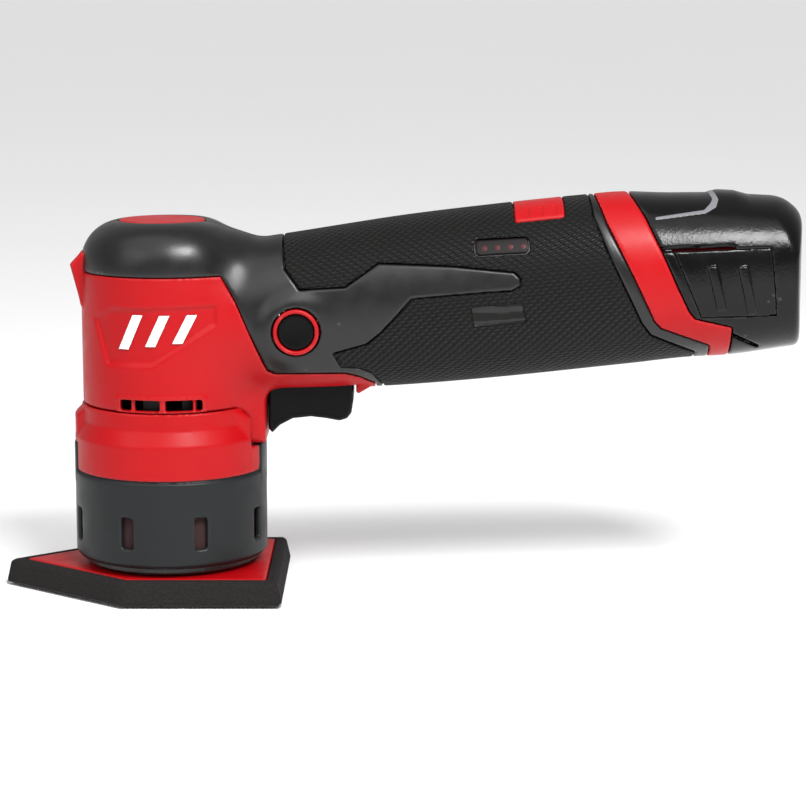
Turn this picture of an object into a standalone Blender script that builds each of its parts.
"""Cordless orbital detail sander, modelled as the assembly it is on a bench.

Axes: +X towards the battery, +Y towards the tool's right side, +Z up. The origin is on the motor
axis, on the sanding face. All sizes below are in millimetres; mesh_object turns them into metres.
The handle has a frame of its own, (s, y, t): s runs along its tilted axis and t stands square to it.
"""

import math

import bmesh
import bpy
from mathutils import Matrix

MM = 0.001
GAP = 0.3
HALF_GAP = GAP / 2

# Sanding pad: a five-sided plate with a straight rear edge and a pointed nose.
PAD_REAR = 37.6
PAD_TIP = -56.3
PAD_SHOULDER = -13.9
PAD_HALF_WIDTH = 35.0
PAD_FLARE = 1.7
PLATE_INSET = 5.2
HOOK_TOP = 0.9
FOAM_BOTTOM = HOOK_TOP + 0.2
PLATE_BOTTOM = 6.4
PAD_TOP = 8.5
ORBIT = 1.2

# Head: skirt, collar and motor housing, all about the Z axis.
SKIRT_RADIUS = 31.3
SKIRT_BOTTOM = 11.6
SKIRT_TOP = 39.8
SKIRT_WALL = 2.0
SLOT_COUNT = 8
SLOT_WIDTH = 4.5
SLOT_LOW = 18.0
SLOT_HIGH = 28.3
LINER = (27.0, 29.0)
LINER_BOTTOM = 13.2
COLLAR_BOTTOM = 40.1
COLLAR_RADIUS = 31.0
COLLAR_SHOULDER = 51.3
COLLAR_NECK = 28.6
COLLAR_TOP = 61.5
BORE = 28.4
UPPER_BORE = 25.8
BORE_STEP = 52.6
HEAD_RADIUS = 28.2
HEAD_BOTTOM = 61.8
HEAD_TOP = 121.0
CAP_LINE = 104.6
HEAD_WALL = 2.8
NOSE_HALF_WIDTH = 9.0
NOSE_OUTLINE = ((-20, 92), (-28.0, 94.6), (-31.4, 107.6), (-27.8, 110.9), (-20, 110.9))
VENT_STARTS = (-14.0, 0.6)
VENT_LENGTH = 12.4
VENT_TOP = 65.6
BADGE_X = -1.8
BADGE_RADIUS = 14.0
BADGE_BOTTOM = 119.5
TAB_HALF_WIDTH = 12.0
TAB_TOP = 47.0
WEB_HALF_WIDTH = 14.0
WEB_REACH = 31.8
WEB_BOTTOM = 47.5

# Handle frame: it crosses the motor axis at HANDLE_Z and rises towards the battery.
HANDLE_Z = 86.2
HANDLE_TILT = math.radians(6.2)
ROUNDNESS = 2.2
SKIN = 1.5
SKIN_SEAT = SKIN + GAP
WALL = 3.9
# Stations along the handle: s, height above the axis, depth below it, half width.
HANDLE = (
    (0, 26.0, 25.0, 24.0),
    (30, 26.0, 25.0, 24.0),
    (45, 26.5, 26.0, 24.0),
    (65, 27.1, 26.8, 24.2),
    (76, 27.4, 27.3, 24.4),
    (106, 27.9, 28.0, 24.8),
    (138, 27.8, 28.1, 24.8),
    (149, 27.6, 28.1, 24.8),
    (165, 25.6, 28.0, 24.8),
    (180, 24.0, 28.7, 24.6),
    (195, 21.6, 28.2, 24.0),
    (200, 20.4, 27.3, 23.2),
    (202.8, 17.4, 25.8, 21.5),
    (204.8, 13.4, 23.6, 19.0),
)
# Side lines in the handle frame, from top to bottom: the grip's rear edge and the housing's.
GRIP_LINE = (
    (140.0, 40.0),
    (141.6, 27.5),
    (143.8, 19.2),
    (150.4, 1.6),
    (155.4, -12.4),
    (157.4, -15.0),
    (172.8, -22.9),
    (172.8, -40.0),
)
HOUSING_LINE = (
    (149.0, 40.0),
    (152.0, 28.0),
    (155.8, 20.0),
    (159.5, 9.3),
    (163.5, -2.9),
    (166.4, -10.7),
    (168.2, -13.3),
    (179.8, -17.4),
    (179.2, -26.0),
    (179.0, -40.0),
)

# Details of the handle's sides: the charge gauge and the latches in (s, t), the screws in (x, z).
GAUGE = ((102.6, 18.9), (102.4, 15.2), (122.6, 13.9), (123.2, 17.9))
LATCH = ((163.6, 8.2), (170.2, -12.6), (194.0, -15.0), (194.0, 8.2))
SCREWS = ((30.6, 108.0), (70.3, 74.4), (84.2, 112.6), (97.4, 78.6))
BOSS_RADIUS = 3.4
INSERT_START = 111.6
INSERT_END = 127.5
INSERT_HALF_WIDTH = 15.1

# Trigger, its spring, the switch and the lock button.
TRIGGER_FRONT = 32.4
TRIGGER_REAR = 60.4
TRIGGER_HALF_WIDTH = 9.5
TRIGGER_TOP = 72.0
TRIGGER_OUTLINE = (
    (TRIGGER_FRONT, TRIGGER_TOP),
    (TRIGGER_FRONT, 51.4),
    (33.2, 50.4),
    (34.6, 50.5),
    (37.2, 52.9),
    (40.4, 55.0),
    (44.4, 56.3),
    (48.4, 56.5),
    (52.4, 55.6),
    (55.6, 54.5),
    (58.2, 54.4),
    (59.9, 56.2),
    (TRIGGER_REAR, 60.0),
    (TRIGGER_REAR, TRIGGER_TOP),
)
SPRING_X = 54.0
SPRING_TOP = 83.0
SPRING_RADIUS = 2.6
SPRING_WIRE = 0.5
SPRING_TURNS = 3.5
SWITCH_LOW = (49.0, -10.0, 83.4)
SWITCH_HIGH = (70.0, 10.0, 101.0)
BOARD_LOW = (75.0, -14.0, -7.0)
BOARD_HIGH = (99.0, 14.0, 9.0)
TERMINAL_LOW = (100.0, -13.0, -9.0)
TERMINAL_HIGH = (104.6, 13.0, 9.0)
BUTTON = (41.5, 87.5)
BUTTON_RADIUS = 5.8
RING_RADIUS = 7.6
BOLT_RADIUS = 3.4

# Motor and drive: radii, and heights as (low, high) pairs.
SHAFT_RADIUS = 3.0
SHAFT = (30.4, 106.4)
BEARING_RADIUS = 9.5
OUTPUT_BEARING = (13.0, 20.0)
LOWER_BEARING = (48.7, 54.7)
UPPER_BEARING = (100.4, 106.4)
SPINDLE_RADIUS = 4.0
HUB_RADIUS = 8.0
HUB = (24.0, 43.0)
WEIGHT_RADIUS = 16.4
WEIGHT = (26.0, 43.0)
FAN_RADIUS = 24.0
FAN_ROOT = 8.0
FAN = (57.6, 66.4)
FAN_DISC_TOP = 59.2
FAN_BLADES = 12
MAGNETS = (70.0, 94.0)
STATOR_RADIUS = 24.0
STATOR_BORE = 11.2
STATOR = (71.6, 92.4)
STATOR_SLOTS = 6
LOWER_WINDINGS = (67.6, 71.3)
UPPER_WINDINGS = (92.7, 96.0)
SENSOR_BOARD = (96.4, 98.0)
LEG_RADIUS = 2.4
LEG_CIRCLE = 21.0
LEG_COUNT = 4
LEG_TOP = 50.5
BRACKET_BOTTOM = 43.6
PAD_SCREWS = 3
PAD_SCREW_CIRCLE = 14.0

# Battery.
STEM_START = 107.5
STEM_HALF_WIDTH = 20.0
STEM_HALF_HEIGHT = 19.5
STEM_ROUNDNESS = 2.8
BATTERY_CAP_START = 197.0
CAP_WALL = 2.2
TAIL_HOLLOW_START = 181.5
CELL_RADIUS = 8.8
CELL_START = 119.0
CELL_LENGTH = 65.0
CELLS = ((-9.1, -7.2), (9.1, -7.2), (0.0, 8.8))
LATCH_FACE = 21.0
LATCH_POCKET = 18.8
RIDGES = ((174.8, -11.4), (184.2, -12.8))
RIDGE_TOP = 3.6

FAR = 80.0

# Joints: an empty on the axis, its place, the empty it rides on, and the pieces that move with it.
JOINTS = (
    (
        "rotor_axis",
        (0.0, 0.0, 50.0),
        None,
        ("rotor_shaft", "rotor_magnets", "cooling_fan", "eccentric_hub", "counterweight", "spindle_screw"),
    ),
    (
        "pad_axis",
        (ORBIT, 0.0, 10.0),
        "rotor_axis",
        ("hook_sheet", "foam_pad", "backing_plate", "pad_hub", "output_bearing")
        + tuple(f"pad_screw_{i + 1}" for i in range(PAD_SCREWS))
        + tuple(f"pad_leg_{i + 1}" for i in range(LEG_COUNT)),
    ),
    ("trigger_axis", (SPRING_X, 0.0, TRIGGER_TOP), None, ("trigger",)),
    ("lock_axis", (BUTTON[0], 0.0, BUTTON[1]), None, ("lock_bolt",)),
    (
        "battery_axis",
        (0.0, 0.0, HANDLE_Z),
        None,
        ("battery_case", "battery_end_cap", "cell_1", "cell_2", "cell_3", "battery_contacts"),
    ),
    ("left_latch_axis", (180.0, -LATCH_FACE, 105.0), "battery_axis", ("left_latch",)),
    ("right_latch_axis", (180.0, LATCH_FACE, 105.0), "battery_axis", ("right_latch",)),
)

RED = ("red_plastic", (0.60, 0.018, 0.025), 0.38, 0.0)
DARK_RED = ("dark_red_plastic", (0.20, 0.006, 0.008), 0.45, 0.0)
SKIRT_GREY = ("skirt_plastic", (0.040, 0.042, 0.045), 0.45, 0.0)
RUBBER = ("grip_rubber", (0.030, 0.030, 0.029), 0.55, 0.0)
FOAM = ("foam", (0.040, 0.038, 0.039), 0.95, 0.0)
HOOK = ("hook_fabric", (0.020, 0.020, 0.020), 0.9, 0.0)
BLACK = ("black_plastic", (0.020, 0.020, 0.021), 0.35, 0.0)
GLOSS = ("battery_plastic", (0.012, 0.012, 0.013), 0.18, 0.0)
SMOKED = ("gauge_lens", (0.10, 0.008, 0.010), 0.15, 0.0)
STEEL = ("steel", (0.55, 0.55, 0.56), 0.3, 1.0)
IRON = ("laminated_iron", (0.25, 0.25, 0.27), 0.5, 1.0)
ALLOY = ("cast_alloy", (0.62, 0.62, 0.63), 0.45, 1.0)
COPPER = ("copper", (0.72, 0.33, 0.16), 0.35, 1.0)
BOARD = ("circuit_board", (0.02, 0.16, 0.06), 0.5, 0.0)
CELL_WRAP = ("cell_wrap", (0.05, 0.15, 0.40), 0.4, 0.0)
BRASS = ("brass", (0.65, 0.48, 0.20), 0.3, 1.0)


def clear_scene():
    for item in list(bpy.data.objects):
        bpy.data.objects.remove(item, do_unlink=True)


def material(paint):
    """The Principled material of a paint tuple, made once."""
    name, colour, roughness, metallic = paint
    if name in bpy.data.materials:
        return bpy.data.materials[name]
    made = bpy.data.materials.new(name)
    made.use_nodes = True
    shader = made.node_tree.nodes["Principled BSDF"]
    shader.inputs["Base Color"].default_value = (*colour, 1.0)
    shader.inputs["Roughness"].default_value = roughness
    shader.inputs["Metallic"].default_value = metallic
    return made


def mesh_object(name, bm, paint=None, tilted=False):
    """An object from a bmesh in millimetres. With no paint it is a hidden cutter or guide."""
    bmesh.ops.recalc_face_normals(bm, faces=bm.faces)
    bmesh.ops.scale(bm, vec=(MM, MM, MM), verts=bm.verts)
    mesh = bpy.data.meshes.new(name)
    bm.to_mesh(mesh)
    bm.free()
    mesh.shade_smooth()
    mesh.set_sharp_from_angle(angle=math.radians(35))
    made = bpy.data.objects.new(name, mesh)
    bpy.context.scene.collection.objects.link(made)
    if tilted:
        made.location = (0, 0, HANDLE_Z * MM)
        made.rotation_euler = (0, -HANDLE_TILT, 0)
    if paint:
        mesh.materials.append(material(paint))
    else:
        made.hide_render = True
        made.display_type = "WIRE"
    return made


def shape(target, operation, *others):
    """Boolean modifiers on target, one for each of the other objects."""
    for other in others:
        step = target.modifiers.new(operation.lower(), "BOOLEAN")
        step.operation = operation
        step.solver = "EXACT"
        step.object = other
    return target


def cut(target, *others):
    return shape(target, "DIFFERENCE", *others)


def join(target, *others):
    return shape(target, "UNION", *others)


def keep(target, *others):
    return shape(target, "INTERSECT", *others)


def skin_of_rings(bm, rings, closed):
    """Faces between neighbouring rings; a ring of one vertex is a pole."""
    followers = rings[1:] + rings[:1] if closed else rings[1:]
    for near, far in zip(rings, followers):
        if len(near) == 1 and len(far) == 1:
            continue
        steps = max(len(near), len(far))
        for i in range(steps):
            j = (i + 1) % steps
            corners = (near[i % len(near)], near[j % len(near)], far[j % len(far)], far[i % len(far)])
            bm.faces.new(list(dict.fromkeys(corners)))


def turned(name, profile, paint=None, centre=(0.0, 0.0), steps=28):
    """A solid turned about a vertical axis; profile is a closed outline of (radius, height)."""
    bm = bmesh.new()
    rings = []
    for radius, z in profile:
        count = steps if radius > 0 else 1
        angles = [2 * math.pi * i / count for i in range(count)]
        rings.append(
            [
                bm.verts.new((centre[0] + radius * math.cos(a), centre[1] + radius * math.sin(a), z))
                for a in angles
            ]
        )
    skin_of_rings(bm, rings, closed=True)
    return mesh_object(name, bm, paint)


def ring_profile(inner, outer, low, high):
    """The closed outline of a plain ring."""
    return [(inner, low), (outer, low), (outer, high), (inner, high)]


def loft(name, rings, paint=None, tilted=False):
    """A closed body through rings of points, with flat ends."""
    bm = bmesh.new()
    placed = [[bm.verts.new(point) for point in ring] for ring in rings]
    skin_of_rings(bm, placed, closed=False)
    bm.faces.new(placed[0])
    bm.faces.new(placed[-1])
    return mesh_object(name, bm, paint, tilted)


def prism(name, outline, low, high, axis="z", paint=None, tilted=False):
    """An outline pushed along an axis: (x, y) outlines along z, (x, z) along y, (y, z) along x."""
    place = {
        "z": lambda p, level: (p[0], p[1], level),
        "y": lambda p, level: (p[0], level, p[1]),
        "x": lambda p, level: (level, p[0], p[1]),
    }[axis]
    rings = [[place(point, level) for point in outline] for level in (low, high)]
    return loft(name, rings, paint, tilted)


def box(name, low, high, paint=None, tilted=False):
    corners = ((low[0], low[1]), (high[0], low[1]), (high[0], high[1]), (low[0], high[1]))
    return prism(name, corners, low[2], high[2], "z", paint, tilted)


def rod(name, centre, radius, low, high, axis, paint=None, steps=20, tilted=False):
    """A cylinder along an axis; centre holds the other two coordinates."""
    outline = [
        (
            centre[0] + radius * math.cos(2 * math.pi * i / steps),
            centre[1] + radius * math.sin(2 * math.pi * i / steps),
        )
        for i in range(steps)
    ]
    return prism(name, outline, low, high, axis, paint, tilted)


def rounded(outline, radii, steps=4):
    """A polygon with each corner turned into an arc."""
    points = []
    count = len(outline)
    for i, (corner, radius) in enumerate(zip(outline, radii)):
        before, after = outline[i - 1], outline[(i + 1) % count]
        one = (before[0] - corner[0], before[1] - corner[1])
        two = (after[0] - corner[0], after[1] - corner[1])
        one = [value / math.hypot(*one) for value in one]
        two = [value / math.hypot(*two) for value in two]
        half = math.acos(one[0] * two[0] + one[1] * two[1]) / 2
        reach = radius / math.tan(half)
        middle = [a + b for a, b in zip(one, two)]
        length = math.hypot(*middle)
        centre = [c + m / length * radius / math.sin(half) for c, m in zip(corner, middle)]
        start = [c + reach * a for c, a in zip(corner, one)]
        end = [c + reach * b for c, b in zip(corner, two)]
        from_angle = math.atan2(start[1] - centre[1], start[0] - centre[0])
        to_angle = math.atan2(end[1] - centre[1], end[0] - centre[0])
        sweep = (to_angle - from_angle + math.pi) % (2 * math.pi) - math.pi
        for k in range(steps + 1):
            angle = from_angle + sweep * k / steps
            points.append((centre[0] + radius * math.cos(angle), centre[1] + radius * math.sin(angle)))
    return points


def to_handle(x, z):
    """World x and z as the handle's s and t."""
    lift = z - HANDLE_Z
    cos, sin = math.cos(HANDLE_TILT), math.sin(HANDLE_TILT)
    return (x * cos + lift * sin, -x * sin + lift * cos)


def station(s):
    """Height, depth and half width of the handle at s, between the listed stations."""
    for one, two in zip(HANDLE, HANDLE[1:]):
        if one[0] <= s <= two[0]:
            share = (s - one[0]) / (two[0] - one[0])
            return [a + (b - a) * share for a, b in zip(one[1:], two[1:])]
    return HANDLE[-1][1:]


def oval(s, above, below, half_width, roundness, steps=28):
    """A ring across the handle, a superellipse with its own height above and below the axis."""
    ring = []
    for i in range(steps):
        angle = 2 * math.pi * i / steps
        cos, sin = math.cos(angle), math.sin(angle)
        height = above if sin >= 0 else below
        ring.append(
            (
                s,
                math.copysign(half_width * abs(cos) ** (2 / roundness), cos),
                math.copysign(height * abs(sin) ** (2 / roundness), sin),
            )
        )
    return ring


def handle_body(name, inset, start, end, paint=None, reach=0.0):
    """The handle's form between two stations, drawn in by inset, and run on past its end by reach."""
    places = sorted({start, end} | {row[0] for row in HANDLE if start < row[0] < end})
    rings = []
    for s in places:
        above, below, half_width = station(s)
        rings.append(oval(s, above - inset, below - inset, half_width - inset, ROUNDNESS))
    if reach:
        above, below, half_width = station(end)
        rings.append(oval(end + reach, above - inset, below - inset, half_width - inset, ROUNDNESS))
    return loft(name, rings, paint, tilted=True)


def dome(inset, bottom):
    """The head's profile, drawn in by inset: a cylinder that rounds over to a flat crown."""
    side = HEAD_RADIUS - inset
    return [
        (0, bottom),
        (side, bottom),
        (side, 105.5),
        (HEAD_RADIUS - 0.6 - inset, 110.0),
        (HEAD_RADIUS - 2.4 - inset, 114.6 - 0.3 * inset),
        (HEAD_RADIUS - 5.6 - inset, 118.2 - 0.7 * inset),
        (HEAD_RADIUS - 9.2 - inset, 120.2 - inset),
        (HEAD_RADIUS - 13.2 - inset, HEAD_TOP - inset),
        (0, HEAD_TOP - inset),
    ]


def pad_outline(inset, tip_radius=1.6, corner_radius=3.0):
    """The pad's five corners, drawn in by inset."""
    run = PAD_SHOULDER - PAD_TIP
    slope = math.hypot(run, PAD_HALF_WIDTH)
    tip = PAD_TIP + inset * slope / PAD_HALF_WIDTH
    side = PAD_HALF_WIDTH - inset
    shoulder = tip + run * side / PAD_HALF_WIDTH
    rear = PAD_REAR - inset
    corners = ((rear, -side), (rear, side), (shoulder, side), (tip, 0), (shoulder, -side))
    radii = (corner_radius, corner_radius, corner_radius, tip_radius, corner_radius)
    return rounded(corners, radii)


def make_pad():
    """Hook sheet, foam, backing plate and the hub that carries the output bearing."""
    centre = (ORBIT, 0.0)
    prism("hook_sheet", pad_outline(0.2), 0, HOOK_TOP, "z", HOOK)
    low, high = pad_outline(0), pad_outline(PAD_FLARE)
    rings = [[(x, y, z) for x, y in outline] for outline, z in ((low, FOAM_BOTTOM), (high, PAD_TOP))]
    foam = loft("foam_pad", rings, FOAM)
    recess = prism("plate_recess", pad_outline(PLATE_INSET - GAP), PLATE_BOTTOM - GAP, FAR)
    cut(foam, recess)
    plate = prism("backing_plate", pad_outline(PLATE_INSET), PLATE_BOTTOM, PAD_TOP + 0.1, "z", RED)
    foot = PAD_TOP + 0.1 + GAP
    pocket = BEARING_RADIUS + GAP
    seat = OUTPUT_BEARING[0] - GAP
    hub = turned(
        "pad_hub",
        [(6.0, foot), (16.5, foot), (16.5, 12.0), (11.6, 12.0), (11.6, 21.0)]
        + [(pocket, 21.0), (pocket, seat), (6.0, seat)],
        ALLOY,
        centre,
    )
    bearing = ring_profile(SPINDLE_RADIUS + GAP, BEARING_RADIUS, *OUTPUT_BEARING)
    turned("output_bearing", bearing, STEEL, centre, 24)
    for i in range(PAD_SCREWS):
        angle = math.radians(30) + 2 * math.pi * i / PAD_SCREWS
        place = (
            centre[0] + PAD_SCREW_CIRCLE * math.cos(angle),
            centre[1] + PAD_SCREW_CIRCLE * math.sin(angle),
        )
        hole = rod(f"pad_screw_hole_{i + 1}", place, 1.6, 7.0, 20.0, "z", steps=8)
        cut(plate, hole)
        cut(hub, hole)
        screw = [(0, 7.3), (1.2, 7.3), (1.2, 12.3), (2.1, 12.3), (2.1, 13.8), (0, 13.8)]
        turned(f"pad_screw_{i + 1}", screw, STEEL, place, 10)
    leg = [(0, foot), (2.9, foot), (2.9, 10.6), (LEG_RADIUS, 11.4), (LEG_RADIUS, LEG_TOP), (0, LEG_TOP)]
    for i, (x, y) in enumerate(leg_places()):
        turned(f"pad_leg_{i + 1}", leg, RUBBER, (x + ORBIT, y), 12)


def leg_places():
    """Centres of the flexible legs' sockets, evenly round the head and clear of the tabs."""
    angles = [2 * math.pi * (i + 0.5) / LEG_COUNT for i in range(LEG_COUNT)]
    return [(LEG_CIRCLE * math.cos(a), LEG_CIRCLE * math.sin(a)) for a in angles]


def make_skirt():
    """Dust skirt with its slots and clip tabs, the liner behind the slots and the seal below."""
    inner = SKIRT_RADIUS - SKIRT_WALL
    skirt = turned(
        "dust_skirt",
        [(inner, SKIRT_BOTTOM), (SKIRT_RADIUS - 1.2, SKIRT_BOTTOM), (SKIRT_RADIUS, SKIRT_BOTTOM + 1.4)]
        + [(SKIRT_RADIUS, SKIRT_TOP), (inner, SKIRT_TOP)],
        SKIRT_GREY,
        steps=40,
    )
    tab = turned("tab_ring", ring_profile(inner + 0.3, SKIRT_RADIUS + 0.2, 36, TAB_TOP))
    keep(tab, box("tab_band", (-FAR, -TAB_HALF_WIDTH, 30), (FAR, TAB_HALF_WIDTH, 60)))
    join(skirt, tab)
    for i in range(SLOT_COUNT):
        angle = 2 * math.pi * (i + 0.5) / SLOT_COUNT
        slot = box(f"skirt_slot_{i + 1}", (20, -SLOT_WIDTH / 2, SLOT_LOW), (40, SLOT_WIDTH / 2, SLOT_HIGH))
        slot.rotation_euler = (0, 0, angle)
        cut(skirt, slot)
    turned("skirt_liner", ring_profile(*LINER, LINER_BOTTOM, SKIRT_TOP - 0.4), DARK_RED)
    turned("dust_seal", [(25.4, 9.3), (27.6, 9.3), (28.6, 10.2), (28.6, 12.9), (25.4, 12.9)], RUBBER)


def make_collar():
    """Lower collar, the bearing bracket inside it and the screws that hold them up."""
    collar = turned(
        "lower_collar",
        [(BORE, COLLAR_BOTTOM), (COLLAR_RADIUS, COLLAR_BOTTOM), (COLLAR_RADIUS, COLLAR_SHOULDER)]
        + [(COLLAR_NECK, 56.0), (COLLAR_NECK, COLLAR_TOP), (UPPER_BORE, COLLAR_TOP)]
        + [(UPPER_BORE, BORE_STEP + 0.6), (BORE, BORE_STEP)],
        RED,
        steps=40,
    )
    band = turned("tab_seat", ring_profile(29.2, FAR, 30, TAB_TOP + GAP))
    reach = TAB_HALF_WIDTH + 0.4
    keep(band, box("tab_seat_band", (-FAR, -reach, 20), (FAR, reach, 60)))
    notch = box("web_notch", (20, -WEB_HALF_WIDTH - 0.5, TAB_TOP), (FAR, WEB_HALF_WIDTH + 0.5, 70))
    cut(collar, band, notch)
    pocket = BEARING_RADIUS + GAP
    bracket = turned(
        "bearing_bracket",
        [(6.0, BRACKET_BOTTOM), (BORE - GAP, BRACKET_BOTTOM), (BORE - GAP, 52.2), (UPPER_BORE - GAP, 52.2)]
        + [(UPPER_BORE - GAP, 56.0), (pocket, 56.0), (pocket, 48.4), (6.0, 48.4)],
        ALLOY,
    )
    for i, place in enumerate(leg_places()):
        socket = rod(f"leg_socket_{i + 1}", place, LEG_RADIUS + ORBIT + 0.5, 40, 51.2, "z")
        cut(bracket, socket)
    bearing = ring_profile(SHAFT_RADIUS + GAP, BEARING_RADIUS, *LOWER_BEARING)
    turned("lower_bearing", bearing, STEEL, steps=24)


def make_drive():
    """What spins: shaft, magnets, fan, eccentric hub with its counterweight, spindle screw."""
    bore = SHAFT_RADIUS + GAP
    rod("rotor_shaft", (0, 0), SHAFT_RADIUS, *SHAFT, "z", STEEL, 24)
    turned("rotor_magnets", ring_profile(bore, STATOR_BORE - 0.6, *MAGNETS), IRON, steps=24)
    fan = turned("cooling_fan", ring_profile(bore, FAN_RADIUS, FAN[0], FAN_DISC_TOP), BLACK)
    pitch = 2 * math.pi / FAN_BLADES
    tooth = ((FAN_ROOT, -0.025), (FAN_ROOT, 0.3875), (FAN_RADIUS, 0.475), (FAN_RADIUS, 0.8875))
    outline = [
        (radius * math.cos(pitch * (k + share)), radius * math.sin(pitch * (k + share)))
        for k in range(FAN_BLADES)
        for radius, share in tooth
    ]
    join(fan, prism("fan_blades", outline, FAN_DISC_TOP - 0.6, FAN[1]))
    cut(fan, rod("fan_bore", (0, 0), bore, 50, 70, "z", steps=24))
    hub = rod("eccentric_hub", (0, 0), HUB_RADIUS, *HUB, "z", STEEL, 24)
    join(hub, rod("spindle_pin", (ORBIT, 0), SPINDLE_RADIUS, 12.9, 26.0, "z", steps=24))
    cut(hub, rod("shaft_bore", (0, 0), bore, SHAFT[0] - GAP, 60, "z", steps=24))
    weight = turned("counterweight", ring_profile(HUB_RADIUS + 0.4, WEIGHT_RADIUS, *WEIGHT), BRASS)
    cut(weight, box("weight_side", (-2.0, -FAR, 10), (FAR, FAR, 60)))
    rod("spindle_screw", (ORBIT, 0), 3.4, 9.6, 12.5, "z", STEEL, 16)


def make_motor():
    """What stands still round the rotor: laminations, windings, sensor board, upper bearing."""
    stator = turned("stator_core", ring_profile(STATOR_BORE, STATOR_RADIUS, *STATOR), IRON)
    for i in range(STATOR_SLOTS):
        slot = box(f"stator_slot_{i + 1}", (5, -1.2, 60), (14.5, 1.2, 100))
        slot.rotation_euler = (0, 0, 2 * math.pi * (i + 0.5) / STATOR_SLOTS)
        cut(stator, slot)
    for name, (low, high) in (("lower_windings", LOWER_WINDINGS), ("upper_windings", UPPER_WINDINGS)):
        turned(name, [(12.4, low), (20.0, low), (20.6, high), (12.4, high)], COPPER, steps=24)
    turned("sensor_board", ring_profile(8.0, 21.5, *SENSOR_BOARD), BOARD, steps=24)
    holder = [(SHAFT_RADIUS + 2, 109.0), (SHAFT_RADIUS + 2, 106.8), (BEARING_RADIUS + GAP, 106.8)]
    holder += [(BEARING_RADIUS + GAP, 100.2), (24.6, 100.2), (24.6, 104.0), (13.0, 109.0)]
    turned("upper_bearing_holder", holder, ALLOY)
    bearing = ring_profile(SHAFT_RADIUS + GAP, BEARING_RADIUS, *UPPER_BEARING)
    turned("upper_bearing", bearing, STEEL, steps=24)


def whole_body(name, inset, paint=None):
    """Head and handle as one solid, drawn in by inset."""
    head = turned(name, dome(inset, HEAD_BOTTOM), paint, steps=36)
    return join(head, handle_body(name + "_handle", inset, 0, HANDLE[-1][0]))


def grip_region(name, trim):
    """The side outline of the grip's overmould, pushed right through the tool and drawn in by trim."""
    low = CAP_LINE + trim
    front = [to_handle(*p) for p in ((-FAR, low), (18.2 + trim, low), (32.6 + trim, 74.6 + trim))]
    rail = [to_handle(*p) for p in ((36.0, 73.2 + trim), (57.5, 71.5 + trim), (67.2 + trim, 68.8 + trim))]
    rail.append(to_handle(67.2 + trim, 30.0))
    rear = [(s - trim, t) for s, t in reversed(GRIP_LINE)]
    outline = front + rail + rear + [to_handle(-FAR, 160.0)]
    return prism(name, outline, -FAR, FAR, "y", tilted=True)


def make_cavity():
    """The hollow of the housing, less the screw bosses that stand in it."""
    cavity = turned(
        "cavity",
        [(0, 40.0), (HEAD_RADIUS - HEAD_WALL, 40.0), (HEAD_RADIUS - HEAD_WALL, 108.0)]
        + [(21.0, 113.5), (14.0, 116.0), (0, 116.0)],
        steps=36,
    )
    join(cavity, handle_body("handle_cavity", WALL, 12, HANDLE[-1][0], reach=20))
    for i, place in enumerate(SCREWS):
        cut(cavity, rod(f"boss_{i + 1}", place, BOSS_RADIUS, -40, 40, "y", steps=16))
    return cavity


def housing_screw(i, place):
    """A housing screw along Y: its head sits in a counterbore on the right side."""
    head = rod(f"housing_screw_{i + 1}", place, 2.7, 13.6, 15.8, "y", STEEL, 16)
    return join(head, rod(f"screw_shank_{i + 1}", place, 1.4, -12.0, 14.0, "y", steps=12))


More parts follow.
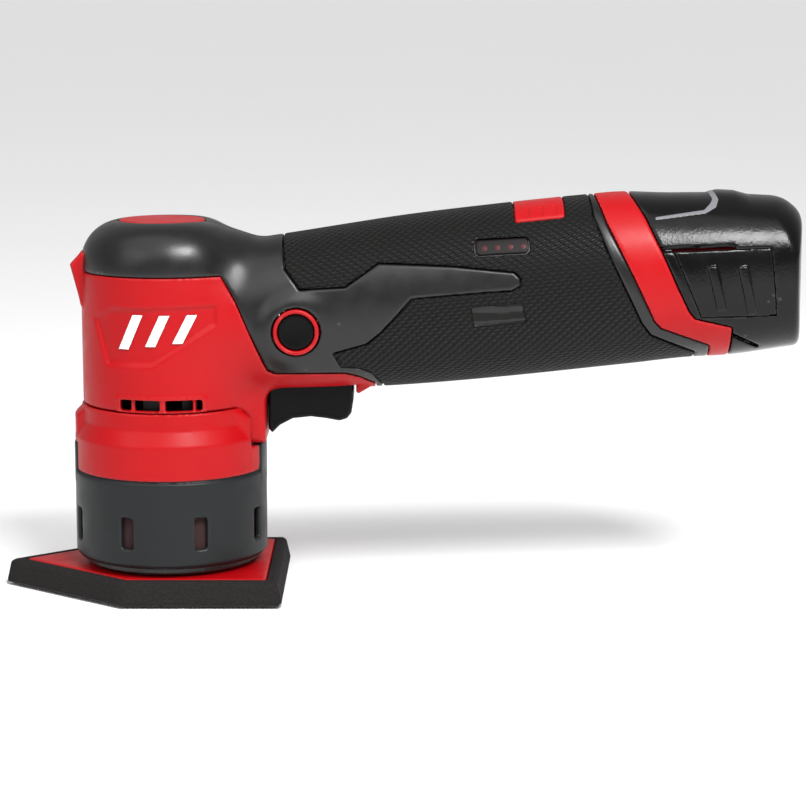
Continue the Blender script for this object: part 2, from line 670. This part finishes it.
def make_housing():
    """Left and right clamshells, their rubber overmoulds and the trims set into them."""
    cavity = make_cavity()
    behind = (*HOUSING_LINE, (FAR * 3, -40.0), (FAR * 3, 40.0))
    rear = prism("rear_limit", behind, -FAR, FAR, "y", tilted=True)
    core = whole_body("core_form", SKIN_SEAT)
    nose = prism("nose_ridge", NOSE_OUTLINE, -NOSE_HALF_WIDTH, NOSE_HALF_WIDTH, "y")
    reach = NOSE_HALF_WIDTH + 0.4
    nose_room = box("nose_room", (-FAR, -reach, 90), (-24.0, reach, 111.3))
    seat = cut(whole_body("grip_seat", -2.0), core)
    cut(keep(seat, grip_region("seat_region", 0.0)), nose_room)
    web = box("rear_web", (18.0, -WEB_HALF_WIDTH, WEB_BOTTOM), (WEB_REACH, WEB_HALF_WIDTH, 70.0))
    wide, narrow = BORE + 0.2, UPPER_BORE + 0.2
    bracket_room = turned(
        "bracket_room",
        [(0, 30), (wide, 30), (wide, 53.0), (narrow, 53.0), (narrow, 61.0), (0, 61.0)],
    )
    trigger_room = box("trigger_room", (TRIGGER_FRONT - 0.3, -10.0, 40), (TRIGGER_REAR + 0.5, 10.0, 80))
    button_room = rod("button_room", BUTTON, RING_RADIUS + GAP, -FAR, FAR, "y", steps=24)
    badge_room = rod("badge_room", (BADGE_X, 0), BADGE_RADIUS + 0.4, BADGE_BOTTOM - GAP, 140, "z", steps=28)
    vents = [
        box(f"vent_{i + 1}", (low, -FAR, 55), (low + VENT_LENGTH, FAR, VENT_TOP))
        for i, low in enumerate(VENT_STARTS)
    ]
    holes = []
    for i, place in enumerate(SCREWS):
        housing_screw(i, place)
        hole = rod(f"screw_hole_{i + 1}", place, 1.7, -14.0, 30.0, "y", steps=12)
        holes.append(join(hole, rod(f"screw_sink_{i + 1}", place, 3.1, 13.3, 40.0, "y", steps=16)))
    region = grip_region("grip_side", GAP)
    grip_core = whole_body("grip_core", SKIN)
    insert_low = (INSERT_START, -INSERT_HALF_WIDTH, 110)
    insert_high = (INSERT_END, INSERT_HALF_WIDTH, 140)
    insert_room = box("insert_room", [v - GAP for v in insert_low], [v + GAP for v in insert_high])
    gauge_room = prism("gauge_room", grown(GAUGE, 0.3), -FAR, 0, "y", tilted=True)
    for side, low, high in (("left", -FAR, -HALF_GAP), ("right", HALF_GAP, FAR)):
        half = box(f"{side}_half", (-FAR - 7, low, -10), (3 * FAR + 7, high, 200))
        shell = whole_body(f"{side}_housing", 0.0, RED)
        keep(join(shell, nose, web), half)
        cut(shell, bracket_room, cavity, rear, seat, trigger_room, button_room, *vents, *holes)
        grip = whole_body(f"{side}_grip", 0.0, RUBBER)
        keep(grip, half, region)
        cut(grip, grip_core, nose_room, trigger_room, button_room, badge_room, insert_room)
        cut(grip, *holes)
        if side == "left":
            cut(grip, gauge_room)
    rod("top_badge", (BADGE_X, 0), BADGE_RADIUS, BADGE_BOTTOM, HEAD_TOP, "z", RED, 28)
    insert = whole_body("top_insert", 0.0, RED)
    cut(keep(insert, box("insert_patch", insert_low, insert_high)), grip_core)
    gauge = whole_body("gauge_window", 0.4, SMOKED)
    cut(keep(gauge, prism("gauge_patch", GAUGE, -FAR, 0, "y", tilted=True)), grip_core)


def grown(outline, by):
    """A four-cornered outline with each corner moved out from the middle by the same amount."""
    middle = [sum(point[k] for point in outline) / len(outline) for k in (0, 1)]
    return [tuple(p + math.copysign(by, p - m) for p, m in zip(point, middle)) for point in outline]


def coil(name, centre_x, low, high, paint):
    """An upright spring of round wire, with a flat cut at each end."""
    steps, sides = 8, 5
    count = int(SPRING_TURNS * steps)
    rise = (high - low - 2 * SPRING_WIRE) / count
    bm = bmesh.new()
    rings = []
    for i in range(count + 1):
        angle = 2 * math.pi * i / steps
        ring = []
        for k in range(sides):
            around = 2 * math.pi * k / sides
            reach = SPRING_RADIUS + SPRING_WIRE * math.cos(around)
            z = low + SPRING_WIRE * (1 + math.sin(around)) + rise * i
            ring.append(bm.verts.new((centre_x + reach * math.cos(angle), reach * math.sin(angle), z)))
        rings.append(ring)
    skin_of_rings(bm, rings, closed=False)
    bm.faces.new(rings[0])
    bm.faces.new(rings[-1])
    return mesh_object(name, bm, paint)


def make_controls():
    """Trigger and its spring, lock button and its rings, switch and electronics."""
    prism("trigger", TRIGGER_OUTLINE, -TRIGGER_HALF_WIDTH, TRIGGER_HALF_WIDTH, "y", BLACK)
    coil("trigger_spring", SPRING_X, TRIGGER_TOP + GAP, SPRING_TOP, STEEL)
    box("switch_body", SWITCH_LOW, SWITCH_HIGH, BLACK)
    bolt = rod("lock_bolt", BUTTON, BOLT_RADIUS, -20.0, 24.0, "y", BLACK, 20)
    for name, low, high in (("left_face", -24.4, -18.0), ("right_face", 19.5, 27.0)):
        join(bolt, rod(name, BUTTON, BUTTON_RADIUS, low, high, "y", steps=24))
    for side, low, high in (("left", -25.2, -20.6), ("right", 20.6, 25.2)):
        ring = rod(f"{side}_lock_ring", BUTTON, RING_RADIUS, low, high, "y", RED, 24)
        cut(ring, rod(f"{side}_ring_bore", BUTTON, BUTTON_RADIUS + GAP, -FAR, FAR, "y", steps=24))
    box("control_board", BOARD_LOW, BOARD_HIGH, BOARD, tilted=True)
    box("terminal_block", TERMINAL_LOW, TERMINAL_HIGH, BLACK, tilted=True)
    for i, y in enumerate((-8.0, 0.0, 8.0)):
        box(f"contact_blade_{i + 1}", (104.9, y - 0.4, -2.5), (111.5, y + 0.4, 4.5), BRASS, tilted=True)


def make_battery():
    """Battery: a stem inside the handle, the visible tail, its end cap, cells and two latches."""
    stem_rings = [
        oval(s, STEM_HALF_HEIGHT, STEM_HALF_HEIGHT, STEM_HALF_WIDTH, STEM_ROUNDNESS)
        for s in (STEM_START, 172.0)
    ]
    case = loft("battery_case", stem_rings, GLOSS, tilted=True)
    tail = handle_body("battery_tail", 0.0, 149, BATTERY_CAP_START - GAP)
    front = [(s + GAP, t + GAP) for s, t in HOUSING_LINE]
    region = prism("tail_region", (*front, (FAR * 3, -40.0), (FAR * 3, 40.4)), -FAR, FAR, "y", tilted=True)
    join(case, keep(tail, region))
    hollow_rings = [oval(s, 18.5, 18.5, 19.0, STEM_ROUNDNESS) for s in (STEM_START + 2.5, 210.0)]
    hollow = loft("battery_hollow", hollow_rings, tilted=True)
    mouth = box("contact_mouth", (100, -11.0, -4.5), (112, 11.0, 6.5), tilted=True)
    tail_hollow = handle_body("tail_hollow", CAP_WALL, TAIL_HOLLOW_START, BATTERY_CAP_START, reach=10)
    cut(case, hollow, tail_hollow, mouth)
    for side, sign in (("left", -1), ("right", 1)):
        near, far = sorted((sign * LATCH_POCKET, sign * FAR))
        pocket = prism(f"{side}_latch_pocket", grown(LATCH, GAP), near, far, "y", tilted=True)
        cut(case, pocket)
        latch = handle_body(f"{side}_latch", 0.0, 155, BATTERY_CAP_START, GLOSS)
        near, far = sorted((sign * LATCH_FACE, sign * FAR))
        keep(latch, prism(f"{side}_latch_side", LATCH, near, far, "y", tilted=True))
        for i, (s, foot) in enumerate(RIDGES):
            bar = ((s, RIDGE_TOP), (s + 2.4, foot), (s + 5.4, foot), (s + 3.0, RIDGE_TOP))
            low, high = sorted((sign * 22.0, sign * 24.8))
            join(latch, prism(f"{side}_ridge_{i + 1}", bar, low, high, "y", tilted=True))
    cap = handle_body("battery_end_cap", 0.0, BATTERY_CAP_START, HANDLE[-1][0], GLOSS)
    cut(cap, handle_body("cap_hollow", CAP_WALL, BATTERY_CAP_START - 5, HANDLE[-1][0] - CAP_WALL))
    for i, (y, t) in enumerate(CELLS):
        end = CELL_START + CELL_LENGTH
        rod(f"cell_{i + 1}", (y, t), CELL_RADIUS, CELL_START, end, "x", CELL_WRAP, 24, tilted=True)
    box("battery_contacts", (112.3, -10.0, -3.5), (114.3, 10.0, 5.5), BRASS, tilted=True)


def hang_on_axes():
    """Each moving piece hangs from an empty on its joint's axis, in the place that it already has."""
    for name, place, holder, pieces in JOINTS:
        empty = bpy.data.objects.new(name, None)
        bpy.context.scene.collection.objects.link(empty)
        empty.location = [value * MM for value in place]
        if holder:
            parent = bpy.data.objects[holder]
            empty.parent = parent
            empty.matrix_parent_inverse = Matrix.Translation(parent.location).inverted()
        for piece in pieces:
            child = bpy.data.objects[piece]
            child.parent = empty
            child.matrix_parent_inverse = Matrix.Translation(empty.location).inverted()


def main():
    clear_scene()
    make_pad()
    make_skirt()
    make_collar()
    make_drive()
    make_motor()
    make_housing()
    make_controls()
    make_battery()
    hang_on_axes()


main()
